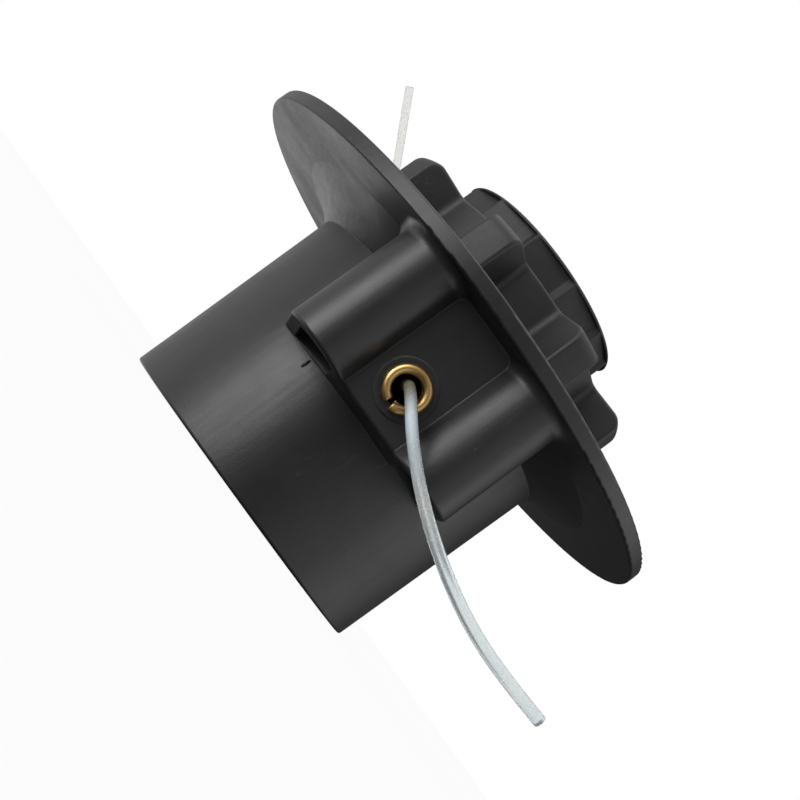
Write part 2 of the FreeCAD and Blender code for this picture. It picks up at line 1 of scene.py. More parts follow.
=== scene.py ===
import logging
import math
from abc import ABC, abstractmethod
from collections.abc import Callable
from dataclasses import dataclass, field, replace
from enum import Enum
from typing import ClassVar

import bpy
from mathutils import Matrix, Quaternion, Vector


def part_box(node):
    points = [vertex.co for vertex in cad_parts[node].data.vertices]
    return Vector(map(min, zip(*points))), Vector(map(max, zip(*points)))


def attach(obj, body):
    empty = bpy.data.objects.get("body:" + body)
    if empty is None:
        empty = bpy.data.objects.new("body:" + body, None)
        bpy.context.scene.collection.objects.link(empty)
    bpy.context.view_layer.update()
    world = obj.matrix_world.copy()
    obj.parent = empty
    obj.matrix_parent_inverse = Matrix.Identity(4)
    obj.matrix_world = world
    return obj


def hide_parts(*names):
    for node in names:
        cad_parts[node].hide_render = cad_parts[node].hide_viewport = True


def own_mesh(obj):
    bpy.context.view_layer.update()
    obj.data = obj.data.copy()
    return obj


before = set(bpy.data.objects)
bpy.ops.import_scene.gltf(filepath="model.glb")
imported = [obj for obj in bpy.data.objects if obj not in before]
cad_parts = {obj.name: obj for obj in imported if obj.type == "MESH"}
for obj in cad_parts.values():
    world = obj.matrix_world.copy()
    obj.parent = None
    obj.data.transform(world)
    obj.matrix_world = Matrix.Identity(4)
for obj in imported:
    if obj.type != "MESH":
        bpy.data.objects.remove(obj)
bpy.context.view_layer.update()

LOG = logging.getLogger("trimmer_head")

MM = 0.001
FULL_TURN = 2.0 * math.pi
# Points of a new mesh that lie nearer than this become one.
MERGE_DISTANCE = 0.001 * MM
# A face counts as level where its normal has more than this share along Z.
LEVEL_SHARE = 0.9
PAD_SIDES = 48
QUAD = 4

NOISE_MIDDLE = 0.5
EDGE_SAMPLES = 6
# Sockets of a Mix node that blends colours.
MIX_FACTOR, MIX_FIRST, MIX_SECOND, MIX_RESULT = 0, 6, 7, 2
WHITE = (1.0, 1.0, 1.0, 1.0)

Rgb = tuple[float, float, float]
Point = tuple[float, float, float]
Span = tuple[float, float]


class Flow:
    """A shader value that takes part in Python arithmetic by adding Math nodes."""

    def __init__(self, sheet: "NodeSheet", socket: bpy.types.NodeSocket) -> None:
        """Keep the node tree's wrapper and the socket that carries the value."""
        self.sheet = sheet
        self.socket = socket

    def _math(self, operation: str, first: "Flow | float", second: "Flow | float") -> "Flow":
        """Add a Math node.

        Args:
            operation: Name of the Math node's operation.
            first: Left operand.
            second: Right operand.

        Returns:
            The node's result.
        """
        return self.sheet.add("ShaderNodeMath", {"operation": operation}, {0: first, 1: second})

    def __add__(self, other: "Flow | float") -> "Flow":
        """Sum of two values."""
        return self._math("ADD", self, other)

    def __radd__(self, other: float) -> "Flow":
        """Sum with a number on the left."""
        return self._math("ADD", other, self)

    def __sub__(self, other: "Flow | float") -> "Flow":
        """Difference of two values."""
        return self._math("SUBTRACT", self, other)

    def __rsub__(self, other: float) -> "Flow":
        """Difference with a number on the left."""
        return self._math("SUBTRACT", other, self)

    def __mul__(self, other: "Flow | float") -> "Flow":
        """Product of two values."""
        return self._math("MULTIPLY", self, other)

    def __rmul__(self, other: float) -> "Flow":
        """Product with a number on the left."""
        return self._math("MULTIPLY", other, self)

    def swing(self, reach: float) -> "Flow":
        """Noise about its middle, times a reach."""
        return (self - NOISE_MIDDLE) * reach

    def ramp(self, span: Span) -> "Flow":
        """Smooth step of the value.

        Args:
            span: The values that give 0 and 1.

        Returns:
            A value from 0 to 1.
        """
        inputs = {"Value": self, "From Min": span[0], "From Max": span[1]}
        return self.sheet.add("ShaderNodeMapRange", {"interpolation_type": "SMOOTHSTEP"}, inputs)


@dataclass(frozen=True)
class Pattern:
    """A noise pattern on a piece.

    Attributes:
        scale: Features per metre.
        detail: Octaves.
        bend: How far the noise distorts itself.
        stretch: Scale along each axis, where less than 1 draws the pattern out.
        turn: Turn about each axis, in radians.
    """

    scale: float
    detail: float
    bend: float = 0.0
    stretch: Point = (1.0, 1.0, 1.0)
    turn: Point = (0.0, 0.0, 0.0)


class Ray(Enum):
    """Kinds of ray that the studio answers each in its own way."""

    CAMERA = "Is Camera Ray"
    GLOSSY = "Is Glossy Ray"
    TRANSMISSION = "Is Transmission Ray"


class NodeSheet:
    """A node tree that is filled in by calls."""

    def __init__(self, tree: bpy.types.NodeTree) -> None:
        """Take over a node tree and empty it."""
        self.tree = tree
        tree.nodes.clear()

    def add(self, kind: str, settings: dict[str, object], inputs: "dict[int | str, object]",
            output: "int | str" = 0) -> Flow:
        """Add one node.

        Args:
            kind: The node's type.
            settings: Properties of the node, which are set first.
            inputs: Values or links of its sockets, by name or index.
            output: Name or index of the output that is wanted.

        Returns:
            The wanted output, or an input where the node has no output.
        """
        node = self.tree.nodes.new(kind)
        for name, value in settings.items():
            setattr(node, name, value)
        for name, value in inputs.items():
            if isinstance(value, Flow):
                self.tree.links.new(value.socket, node.inputs[name])
            else:
                node.inputs[name].default_value = value
        ends = node.outputs if node.outputs else node.inputs
        return Flow(self, ends[output])

    def place(self, scale: Point = (1.0, 1.0, 1.0), turn: Point = (0.0, 0.0, 0.0)) -> Flow:
        """Object coordinates, scaled and turned.

        Args:
            scale: Scale along each axis.
            turn: Turn about each axis, in radians.

        Returns:
            The coordinates.
        """
        coords = self.add("ShaderNodeTexCoord", {}, {}, "Object")
        return self.add("ShaderNodeMapping", {}, {"Vector": coords, "Rotation": turn, "Scale": scale})

    def noise(self, pattern: Pattern) -> Flow:
        """Noise value from 0 to 1.

        Args:
            pattern: The pattern's scale, detail and direction.

        Returns:
            The noise.
        """
        where = self.place(pattern.stretch, pattern.turn)
        inputs = {"Vector": where, "Scale": pattern.scale, "Detail": pattern.detail,
                  "Distortion": pattern.bend}
        return self.add("ShaderNodeTexNoise", {}, inputs)

    def mix(self, factor: "Flow | float", first: "Flow | Rgb", second: "Flow | Rgb") -> Flow:
        """Blend of two colours.

        Args:
            factor: 0 gives the first colour and 1 the second.
            first: First colour.
            second: Second colour.

        Returns:
            The blended colour.
        """
        pair = [value if isinstance(value, Flow) else (*value, 1.0) for value in (first, second)]
        inputs = {MIX_FACTOR: factor, MIX_FIRST: pair[0], MIX_SECOND: pair[1]}
        return self.add("ShaderNodeMix", {"data_type": "RGBA"}, inputs, MIX_RESULT)

    def blend(self, factor: Flow, first: Flow, second: Flow) -> Flow:
        """Shader that turns from the first into the second as the factor goes from 0 to 1."""
        return self.add("ShaderNodeMixShader", {}, {0: factor, 1: first, 2: second})

    def dot(self, first: Flow, second: "Flow | Point") -> Flow:
        """Dot product of two directions."""
        inputs = {0: first, 1: second}
        return self.add("ShaderNodeVectorMath", {"operation": "DOT_PRODUCT"}, inputs, "Value")

    def edges(self, reach: float) -> tuple[Flow, Flow]:
        """Softened normal, and how much it turns away from the face.

        Args:
            reach: Reach of the softening, in metres.

        Returns:
            The softened normal, and a value that is 0 on open faces and grows at edges.
        """
        soft = self.add("ShaderNodeBevel", {"samples": EDGE_SAMPLES}, {"Radius": reach})
        face = self.add("ShaderNodeNewGeometry", {}, {}, "Normal")
        return soft, 1.0 - self.dot(soft, face)

    def bump(self, height: Flow, depth: float, strength: float, normal: Flow) -> Flow:
        """Normal that follows the heights of a pattern.

        Args:
            height: The pattern, from 0 to 1.
            depth: Depth of the pattern, in metres.
            strength: How much of it shows.
            normal: The normal that it starts from.

        Returns:
            The new normal.
        """
        inputs = {"Strength": strength, "Distance": depth, "Height": height, "Normal": normal}
        return self.add("ShaderNodeBump", {}, inputs)

    def ray(self, kind: Ray) -> Flow:
        """1 for rays of one kind, and 0 for the others."""
        return self.add("ShaderNodeLightPath", {}, {}, kind.value)


@dataclass(frozen=True)
class Finish(ABC):
    """A surface finish, with the name of the material that it makes."""

    name: str

    @abstractmethod
    def shader(self, sheet: NodeSheet) -> Flow:
        """The finish's shader, which each kind of finish builds in its own way."""

    def material(self) -> bpy.types.Material:
        """Make the finish as a new material.

        Returns:
            The material.
        """
        material = bpy.data.materials.new(self.name)
        material.use_nodes = True
        sheet = NodeSheet(material.node_tree)
        sheet.add("ShaderNodeOutputMaterial", {}, {"Surface": self.shader(sheet)})
        return material


def shaded(tone: Rgb, share: float) -> Rgb:
    """A colour times a share, in each channel."""
    return tuple(share * part for part in tone)


class Grain(Enum):
    """Which way the mould's polishing marks run on a moulded face."""

    ALONG_SPINDLE = (1.0, 1.0, 0.05)
    EVEN = (1.0, 1.0, 1.0)


@dataclass(frozen=True)
class MouldedPlastic(Finish):
    """Black moulded plastic with a satin skin, handling marks and paler edges that are partly wear and
    partly a painted edge highlight.
    """

    tone: Rgb = (0.0115, 0.0117, 0.0122)
    # Paler edge colour: partly wear and partly a painted edge highlight; scuffs and dust use it too.
    wear_and_highlight_tone: Rgb = (0.165, 0.165, 0.160)
    roughness: float = 0.40
    smudge: float = 0.11
    edge_wear_and_highlight: float = 0.60
    grain: Grain = Grain.ALONG_SPINDLE
    grain_depth: float = 0.050 * MM
    edge_reach: float = 0.26 * MM

    streaks: ClassVar[Pattern] = Pattern(1300.0, 4.0)
    broad: ClassVar[Pattern] = Pattern(420.0, 3.0, 0.3)
    skin: ClassVar[Pattern] = Pattern(4800.0, 2.0)
    cloud: ClassVar[Pattern] = Pattern(60.0, 5.0, 0.8)
    blotch: ClassVar[Pattern] = Pattern(210.0, 4.0, 0.4)
    rub: ClassVar[Pattern] = Pattern(420.0, 2.0, stretch=(1.0, 1.0, 0.12), turn=(0.5, 0.3, 0.2))
    dust_scale: ClassVar[float] = 330.0

    cloud_span: ClassVar[Span] = (0.3, 0.7)
    cloud_gain: ClassVar[float] = 1.45
    highlit_worn_edge: ClassVar[Span] = (0.02, 0.22)
    highlit_worn_blotch: ClassVar[Span] = (0.36, 0.62)
    scuff_line: ClassVar[Span] = (0.0, 0.00006)
    scuff_cloud: ClassVar[Span] = (0.52, 0.68)
    scuff_share: ClassVar[float] = 0.14
    dust_speck: ClassVar[Span] = (0.03, 0.075)
    dust_blotch: ClassVar[Span] = (0.56, 0.62)
    dust_share: ClassVar[float] = 0.25
    streak_rough: ClassVar[float] = 0.15
    skin_rough: ClassVar[float] = 0.10
    highlit_worn_rough: ClassVar[float] = 0.08
    streak_height: ClassVar[float] = 0.40
    broad_height: ClassVar[float] = 0.35
    skin_height: ClassVar[float] = 0.25
    grain_strength: ClassVar[float] = 0.8
    ior: ClassVar[float] = 1.5

    def shader(self, sheet: NodeSheet) -> Flow:
        """Build the plastic.

        Args:
            sheet: The material's node sheet.

        Returns:
            The shader.
        """
        streaks = sheet.noise(replace(self.streaks, stretch=self.grain.value))
        broad = sheet.noise(replace(self.broad, stretch=self.grain.value))
        skin = sheet.noise(self.skin)
        cloud = sheet.noise(self.cloud)
        blotch = sheet.noise(self.blotch)
        soft, turn = sheet.edges(self.edge_reach)
        # Mask of the paler edges: partly wear and partly a painted highlight along every edge.
        worn_and_highlit = turn.ramp(self.highlit_worn_edge) * blotch.ramp(self.highlit_worn_blotch)
        rub = sheet.noise(self.rub) - NOISE_MIDDLE
        scuff = (1.0 - (rub * rub).ramp(self.scuff_line)) * cloud.ramp(self.scuff_cloud)
        specks = sheet.add("ShaderNodeTexVoronoi", {}, {
            "Vector": sheet.place(), "Scale": self.dust_scale}, "Distance")
        dust = (1.0 - specks.ramp(self.dust_speck)) * blotch.ramp(self.dust_blotch)
        base = sheet.mix(cloud.ramp(self.cloud_span), self.tone, shaded(self.tone, self.cloud_gain))
        base = sheet.mix(worn_and_highlit * self.edge_wear_and_highlight, base, self.wear_and_highlight_tone)
        base = sheet.mix(scuff * self.scuff_share + dust * self.dust_share, base, self.wear_and_highlight_tone)
        rough = self.roughness + cloud.swing(2.0 * self.smudge) + blotch.swing(self.smudge)
        rough = rough + streaks.swing(self.streak_rough) + skin.swing(self.skin_rough)
        rough = rough + worn_and_highlit * self.highlit_worn_rough
        height = streaks * self.streak_height + broad * self.broad_height + skin * self.skin_height
        bump = sheet.bump(height, self.grain_depth, self.grain_strength, soft)
        return sheet.add("ShaderNodeBsdfPrincipled", {}, {
            "Base Color": base, "Roughness": rough, "Normal": bump, "IOR": self.ior})


@dataclass(frozen=True)
class WorkedMetal(Finish):
    """Bare metal with a cloudy tarnish, bright edges and the marks of its tool."""

    tone: Rgb
    tarnish: Rgb
    bright: Rgb
    roughness: float
    cloud: Pattern
    cloud_span: Span
    cloud_share: float
    cloud_rough: float
    edge_share: float
    mark_rough: float
    mark_depth: float
    mark_strength: float

    edge_reach: ClassVar[float] = 0.25 * MM
    edge_span: ClassVar[Span] = (0.02, 0.3)

    @abstractmethod
    def marks(self, sheet: NodeSheet) -> Flow:
        """The tool's marks, which each metal has in its own form."""

    def shader(self, sheet: NodeSheet) -> Flow:
        """Build the metal.

        Args:
            sheet: The material's node sheet.

        Returns:
            The shader.
        """
        cloud = sheet.noise(self.cloud)
        marks = self.marks(sheet)
        soft, turn = sheet.edges(self.edge_reach)
        base = sheet.mix(cloud.ramp(self.cloud_span) * self.cloud_share, self.tone, self.tarnish)
        base = sheet.mix(turn.ramp(self.edge_span) * self.edge_share, base, self.bright)
        rough = self.roughness + cloud.swing(self.cloud_rough) + marks.swing(self.mark_rough)
        bump = sheet.bump(marks, self.mark_depth, self.mark_strength, soft)
        return sheet.add("ShaderNodeBsdfPrincipled", {}, {
            "Base Color": base, "Metallic": 1.0, "Roughness": rough, "Normal": bump})


@dataclass(frozen=True)
class PressedBrass(WorkedMetal):
    """Pressed brass with fine drawing marks along the eyelet."""

    tone: Rgb = (0.62, 0.41, 0.155)
    tarnish: Rgb = (0.33, 0.20, 0.08)
    bright: Rgb = (0.86, 0.64, 0.29)
    roughness: float = 0.36
    cloud: Pattern = Pattern(420.0, 4.0, 0.5)
    cloud_span: Span = (0.45, 0.75)
    cloud_share: float = 0.55
    cloud_rough: float = 0.22
    edge_share: float = 0.4
    mark_rough: float = 0.10
    mark_depth: float = 0.012 * MM
    mark_strength: float = 0.5

    drawing: ClassVar[Pattern] = Pattern(5200.0, 3.0, stretch=(1.0, 0.12, 1.0))

    def marks(self, sheet: NodeSheet) -> Flow:
        """Fine lines that run along Y, the way the eyelet was drawn."""
        return sheet.noise(self.drawing)


@dataclass(frozen=True)
class TurnedSteel(WorkedMetal):
    """Plated steel with tool marks round the spindle."""

    tone: Rgb = (0.46, 0.46, 0.45)
    tarnish: Rgb = (0.253, 0.253, 0.2475)
    bright: Rgb = (0.66, 0.66, 0.65)
    roughness: float = 0.32
    cloud: Pattern = Pattern(260.0, 4.0, 0.6)
    cloud_span: Span = (0.4, 0.8)
    cloud_share: float = 0.5
    cloud_rough: float = 0.2
    edge_share: float = 0.5
    mark_rough: float = 0.08
    mark_depth: float = 0.01 * MM
    mark_strength: float = 0.4

    turning: ClassVar[Pattern] = Pattern(900.0, 2.0, 1.5)

    def marks(self, sheet: NodeSheet) -> Flow:
        """Rings about the spindle.

        Args:
            sheet: The material's node sheet.

        Returns:
            The rings, from 0 to 1.
        """
        settings = {"wave_type": "RINGS", "rings_direction": "Z", "wave_profile": "SIN"}
        inputs = {"Vector": sheet.place(), "Scale": self.turning.scale, "Distortion": self.turning.bend,
                  "Detail": self.turning.detail}
        return sheet.add("ShaderNodeTexWave", settings, inputs, "Fac")


@dataclass(frozen=True)
class ExtrudedNylon(Finish):
    """Milky translucent nylon line, rubbed dull where it runs through an eyelet, and darker inside it with
    a colour that is partly grime and partly painted shade.
    """

    tone: Rgb = (0.78, 0.85, 0.87)
    milk: Rgb = (0.89, 0.915, 0.91)
    rubbed: Rgb = (0.47, 0.54, 0.58)
    # Colour inside the eyelet and duct: partly grime, partly painted shade.
    grime_and_shade: Rgb = (0.17, 0.155, 0.12)
    roughness: float = 0.26
    clearness: float = 0.78
    grime_and_shade_end: Span = (39.6 * MM, 43.4 * MM)
    rubbed_end: Span = (43.0 * MM, 48.0 * MM)

    cloud: ClassVar[Pattern] = Pattern(120.0, 3.0, 0.3)
    cloud_span: ClassVar[Span] = (0.3, 0.7)
    drawn: ClassVar[Pattern] = Pattern(900.0, 2.0)
    drawn_rough: ClassVar[float] = 0.10
    ior: ClassVar[float] = 1.53

    def shader(self, sheet: NodeSheet) -> Flow:
        """Build the nylon.

        Args:
            sheet: The material's node sheet.

        Returns:
            The shader.
        """
        cloud = sheet.noise(self.cloud)
        base = sheet.mix(cloud.ramp(self.cloud_span), self.tone, self.milk)
        rough = self.roughness + sheet.noise(self.drawn).swing(self.drawn_rough)
        clear = sheet.add("ShaderNodeBsdfPrincipled", {}, {
            "Base Color": base, "Roughness": rough, "IOR": self.ior, "Transmission Weight": self.clearness})
        out = sheet.add("ShaderNodeSeparateXYZ", {}, {"Vector": sheet.place()}, "Y")
        out = out * out
        # Darker colour inside the eyelet and duct: partly grime, partly painted shade.
        past_grime_and_shade = out.ramp((self.grime_and_shade_end[0] ** 2, self.grime_and_shade_end[1] ** 2))
        fresh = out.ramp((self.rubbed_end[0] ** 2, self.rubbed_end[1] ** 2))
        dull = sheet.add("ShaderNodeBsdfPrincipled", {}, {
            "Base Color": sheet.mix(past_grime_and_shade, self.grime_and_shade, self.rubbed), "Roughness": rough, "IOR": self.ior})
        return sheet.blend(fresh, dull, clear)


@dataclass(frozen=True)
class PaleFloor(Finish):
    """Matte floor that reads white to the camera and keeps the object's shadow."""

    tone: Rgb = (0.42, 0.42, 0.42)
    whiteness: float = 0.955

    def shader(self, sheet: NodeSheet) -> Flow:
        """Build the floor's finish.

        Args:
            sheet: The material's node sheet.

        Returns:
            The shader.
        """
        pale = (sheet.ray(Ray.CAMERA) + sheet.ray(Ray.TRANSMISSION)) * self.whiteness
        matte = sheet.add("ShaderNodeBsdfDiffuse", {}, {"Color": (*self.tone, 1.0)})
        white = sheet.add("ShaderNodeEmission", {}, {"Color": WHITE, "Strength": 1.0})
        return sheet.blend(pale, matte, white)


def dress(node: str, material: bpy.types.Material) -> None:
    """Give a CAD node its finish.

    Args:
        node: The node's name.
        material: Its new material.
    """
    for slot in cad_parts[node].material_slots:
        slot.material = material
    LOG.info("dressed %s with %s", node, material.name)


def finish_piece(piece: bpy.types.Object, name: str, body: str,
                 material: bpy.types.Material) -> bpy.types.Object:
    """Name a new piece, give it its finish and let it ride on its body.

    Args:
        piece: The finished object.
        name: The piece's name.
        body: The CAD body that carries it.
        material: Its material.

    Returns:
        The same object.
    """
    piece.name = name
    piece.data.name = name
    piece.data.materials.clear()
    piece.data.materials.append(material)
    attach(piece, body)
    LOG.info("made %s on %s", name, body)
    return piece


def pick(piece: bpy.types.Object) -> None:
    """Make one object the only selected one."""
    bpy.ops.object.select_all(action="DESELECT")
    piece.select_set(True)
    bpy.context.view_layer.objects.active = piece


def settle(piece: bpy.types.Object) -> None:
    """Move an object's place, turn and scale into its mesh."""
    pick(piece)
    bpy.ops.object.transform_apply(location=True, rotation=True, scale=True)


def smooth(piece: bpy.types.Object, angle: float = 40.0) -> None:
    """Shade a finished piece smooth up to an angle in degrees."""
    pick(piece)
    bpy.ops.object.shade_smooth_by_angle(angle=math.radians(angle))


def open_faces(piece: bpy.types.Object, wanted: Callable[[bpy.types.MeshPolygon], bool]) -> None:
    """Open a piece for editing, with only some of its faces selected.

    Args:
        piece: The mesh object.
        wanted: Says whether a face is selected.
    """
    pick(piece)
    bpy.ops.object.mode_set(mode="EDIT")
    bpy.ops.mesh.select_all(action="DESELECT")
    bpy.ops.object.mode_set(mode="OBJECT")
    for face in piece.data.polygons:
        face.select = wanted(face)
    bpy.ops.object.mode_set(mode="EDIT")
    bpy.ops.mesh.select_mode(type="FACE")


def turned_copies(piece: bpy.types.Object, count: int) -> list[bpy.types.Object]:
    """Copy a piece evenly round the spindle.

    Args:
        piece: The finished first piece.
        count: How many there are in all.

    Returns:
        The first piece and its copies, each with its own mesh.
    """
    pieces = [piece]
    for step in range(1, count):
        pick(piece)
        bpy.ops.object.duplicate(linked=False)
        copy = bpy.context.object
        copy.rotation_euler.z = FULL_TURN * step / count
        settle(copy)
        pieces.append(copy)
    return pieces


def round_pad(radius: float, height: float, centre: Point, facing: float, rim: float,
              rings: tuple[Span, ...]) -> bpy.types.Object:
    """Low round pad with a bevelled rim, and rings sunk into its free face or raised from it.

    Args:
        radius: Radius of the pad.
        height: Height of the pad.
        centre: Its middle, on the face that carries it.
        facing: 1 where its free face looks up, and -1 where it looks down.
        rim: Width of the rim's bevel.
        rings: Inset and lift of each ring, from the outside in.

    Returns:
        The pad.
    """
    bpy.ops.object.select_all(action="DESELECT")
    bpy.ops.mesh.primitive_cylinder_add(vertices=PAD_SIDES, radius=radius, depth=height, location=centre)
    pad = bpy.context.object
    settle(pad)
    open_faces(pad, lambda face: facing * face.normal.z > LEVEL_SHARE)
    bpy.ops.mesh.bevel(offset=rim, segments=3, affect="EDGES")
    for inset, lift in rings:
        bpy.ops.mesh.inset(thickness=inset)
        bpy.ops.transform.translate(value=(0.0, 0.0, lift))
    bpy.ops.object.mode_set(mode="OBJECT")
    smooth(pad)
    return pad


def bar_section(centre: Span, half: Span, corners: int) -> bpy.types.Object:
    """Closed outline in the XZ plane, round, or square where it has four corners.

    Args:
        centre: Radius and height of its middle.
        half: Half width and half height.
        corners: How many corners it has.

    Returns:
        The outline.
    """
    square = corners == QUAD
    reach = math.sqrt(2.0) if square else 1.0
    lean = math.pi / 4 if square else 0.0
    bpy.ops.object.select_all(action="DESELECT")
    bpy.ops.mesh.primitive_circle_add(vertices=corners, radius=reach, location=(centre[0], 0.0, centre[1]),
                                      rotation=(math.pi / 2, lean, 0.0))
    outline = bpy.context.object
    bpy.ops.object.transform_apply(location=False, rotation=True, scale=True)
    bpy.ops.transform.resize(value=(half[0], 1.0, half[1]))
    settle(outline)
    return outline


def sweep(outline: bpy.types.Object, steps: int, angle: float = FULL_TURN, rise: float = 0.0,
          repeats: int = 1) -> None:
    """Sweep an outline round the Z axis into a bar with closed ends.

    Args:
        outline: The bar's section, which becomes the bar.
        steps: Steps in one sweep.
        angle: Turn of one sweep, in radians.
        rise: Climb of one sweep.
        repeats: How many sweeps follow one another.
    """
    corners = len(outline.data.vertices)
    pick(outline)
    bpy.ops.object.modifier_add(type="SCREW")
    screw = outline.modifiers[-1]
    screw.angle = angle
    screw.screw_offset = rise
    screw.iterations = repeats
    screw.steps = steps
    screw.render_steps = steps
    bpy.ops.object.modifier_apply(modifier=screw.name)
    bpy.ops.object.mode_set(mode="EDIT")
    bpy.ops.mesh.select_all(action="SELECT")
    bpy.ops.mesh.remove_doubles(threshold=MERGE_DISTANCE)
    bpy.ops.mesh.fill_holes(sides=corners)
    bpy.ops.mesh.normals_make_consistent(inside=False)
    bpy.ops.object.mode_set(mode="OBJECT")


def open_ring(centre: Span, half: Span, corners: int, gap: float, steps: int) -> bpy.types.Object:
    """Bar bent into a ring about Z that doesn't quite close.

    Args:
        centre: Radius and height of its section's middle.
        half: Half width and half height of its section.
        corners: Corners of its section.
        gap: Opening of the ring, in radians, centred on +X.
        steps: Steps round the ring.

    Returns:
        The ring.
    """
    bar = bar_section(centre, half, corners)
    sweep(bar, steps, FULL_TURN - gap)
    bar.rotation_euler.z = gap / 2
    settle(bar)
    return bar


@dataclass
class Housing:
    """Moulded housing with the ejector marks of its mould and a trace of flash."""

    finish: Finish
    flash_finish: Finish
    mark_count: int = 6
    mark_r: float = 2.1 * MM
    mark_ring: float = 18.3 * MM
    mark_height: float = 0.30 * MM
    mark_rim: float = 0.08 * MM
    mark_rings: tuple[Span, ...] = ((0.30 * MM, 0.09 * MM), (1.20 * MM, -0.03 * MM))
    web_z: float = 12.0 * MM
    flash_at: Point = (-10.16 * MM, -23.76 * MM, 18.07 * MM)
    flash_turn: float = math.radians(-113.2)
    flash_lean: float = math.radians(87.7)
    flash_r: float = 0.5 * MM
    flash_stretch: Point = (0.6, 1.6, 0.4)
    flash_ragged: float = 0.09 * MM
    flash_seed: int = 7

    def build(self) -> None:
        """Dress the moulding and add its mould marks."""
        black = self.finish.material()
        dress("housing", black)
        for number, mark in enumerate(turned_copies(self.ejector_mark(), self.mark_count), 1):
            finish_piece(mark, f"ejector_mark_{number}", "housing", black)
        finish_piece(self.flash(), "skirt_flash", "housing", self.flash_finish.material())

    def ejector_mark(self) -> bpy.types.Object:
        """Dished round pad that an ejector pin leaves under the web."""
        return round_pad(self.mark_r, self.mark_height, (self.mark_ring, 0.0, self.web_z), -1.0,
                         self.mark_rim, self.mark_rings)

    def flash(self) -> bpy.types.Object:
        """Small ragged fin of plastic on the skirt, at the mouth of the left ridge.

        Returns:
            The fin.
        """
        bpy.ops.object.select_all(action="DESELECT")
        bpy.ops.mesh.primitive_ico_sphere_add(subdivisions=4, radius=self.flash_r)
        fin = bpy.context.object
        bpy.ops.transform.resize(value=self.flash_stretch)
        settle(fin)
        bpy.ops.object.mode_set(mode="EDIT")
        bpy.ops.mesh.select_all(action="SELECT")
        bpy.ops.transform.vertex_random(offset=self.flash_ragged, seed=self.flash_seed)
        bpy.ops.mesh.vertices_smooth(factor=0.5, repeat=3)
        bpy.ops.object.mode_set(mode="OBJECT")
        fin.rotation_euler = (self.flash_lean, 0.0, self.flash_turn)
        fin.location = self.flash_at
        settle(fin)
        smooth(fin, angle=60.0)
        return fin


@dataclass
class DriveInsert:
    """Steel insert with the thread of its bore."""

    finish: Finish
    bore_r: float = 3.4 * MM
    relief: float = 0.20 * MM
    pitch: float = 1.25 * MM
    ridge_share: float = 0.45
    ridge_corners: int = 6
    turns: int = 8
    start_z: float = 7.0 * MM
    steps: int = 48

    def build(self) -> None:
        """Dress the insert and add its thread."""
        steel = self.finish.material()
        dress("drive_insert", steel)
        finish_piece(self.thread(), "drive_thread", "housing", steel)

    def thread(self) -> bpy.types.Object:
        """Helical ridge along the bore's wall.

        Returns:
            The ridge.
        """
        half = (self.relief, self.ridge_share * self.pitch)
        ridge = bar_section((self.bore_r, self.start_z), half, self.ridge_corners)
        sweep(ridge, self.steps, rise=self.pitch, repeats=self.turns)
        smooth(ridge, angle=35.0)
        return ridge


@dataclass
class Eyelets:
    """Pressed brass eyelets: a rolled lip and a split shank, one in each outlet."""

    finish: Finish
    bore_r: float = 2.0 * MM
    lip_r: float = 3.35 * MM
    lip_height: float = 1.28 * MM
    lip_sink: float = 0.06 * MM
    lip_swell: float = 0.05 * MM
    lip_corners: int = 28
    lip_end_bevel: float = 0.16 * MM
    shank_r: float = 2.7 * MM
    shank: float = 4.9 * MM
    shank_lap: float = 0.2 * MM
    steps: int = 96
    split: float = math.radians(17.0)
    sprung_degrees: tuple[float, ...] = (34.0, 26.0, 18.0, 10.0)
    sprung_step: Point = (0.07 * MM, 0.0, 0.03 * MM)
    seat_y: float = -38.15 * MM
    centre_z: float = 25.3 * MM

    def build(self) -> None:
        """Model the front eyelet and turn a copy of it into the rear outlet."""
        brass = self.finish.material()
        for piece, node in zip(turned_copies(self.eyelet(), 2), ("eyelet_front", "eyelet_rear")):
            finish_piece(piece, node.replace("eyelet", "rolled_eyelet"), "housing", brass)
            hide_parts(node)

    def eyelet(self) -> bpy.types.Object:
        """Eyelet of the front outlet, with one end of its lip sprung out at the split.

        Returns:
            The eyelet.
        """
        lip = open_ring(((self.bore_r + self.lip_r) / 2, self.lip_height / 2 - self.lip_sink),
                        ((self.lip_r - self.bore_r) / 2, self.lip_height / 2 + self.lip_swell),
                        self.lip_corners, self.split, self.steps)
        self.round_ends(lip)
        self.spring_out(lip)
        tube = open_ring(((self.bore_r + self.shank_r) / 2, self.shank_lap - self.shank / 2),
                         ((self.shank_r - self.bore_r) / 2, self.shank / 2),
                         QUAD, self.split, self.steps)
        pick(lip)
        tube.select_set(True)
        bpy.ops.object.join()
        lip.rotation_euler = (math.pi / 2, math.pi / 2, 0.0)
        settle(lip)
        lip.location = (0.0, self.seat_y, self.centre_z)
        settle(lip)
        smooth(lip)
        return lip

    def round_ends(self, lip: bpy.types.Object) -> None:
        """Round the two end faces of the lip at its split.

        Args:
            lip: The open ring.
        """
        open_faces(lip, lambda face: len(face.vertices) > QUAD)
        bpy.ops.mesh.bevel(offset=self.lip_end_bevel, segments=4, affect="EDGES")
        bpy.ops.object.mode_set(mode="OBJECT")

    def spring_out(self, lip: bpy.types.Object) -> None:
        """Bend one end of the lip outwards in a few small steps.

        Args:
            lip: The open ring.
        """
        for reach in self.sprung_degrees:
            pick(lip)
            bpy.ops.object.mode_set(mode="EDIT")
            bpy.ops.mesh.select_mode(type="VERT")
            bpy.ops.mesh.select_all(action="DESELECT")
            bpy.ops.object.mode_set(mode="OBJECT")
            for vertex in lip.data.vertices:
                angle = math.degrees(math.atan2(vertex.co.y, vertex.co.x))
                vertex.select = 0.0 < angle < reach
            bpy.ops.object.mode_set(mode="EDIT")
            bpy.ops.transform.translate(value=self.sprung_step)
            bpy.ops.object.mode_set(mode="OBJECT")


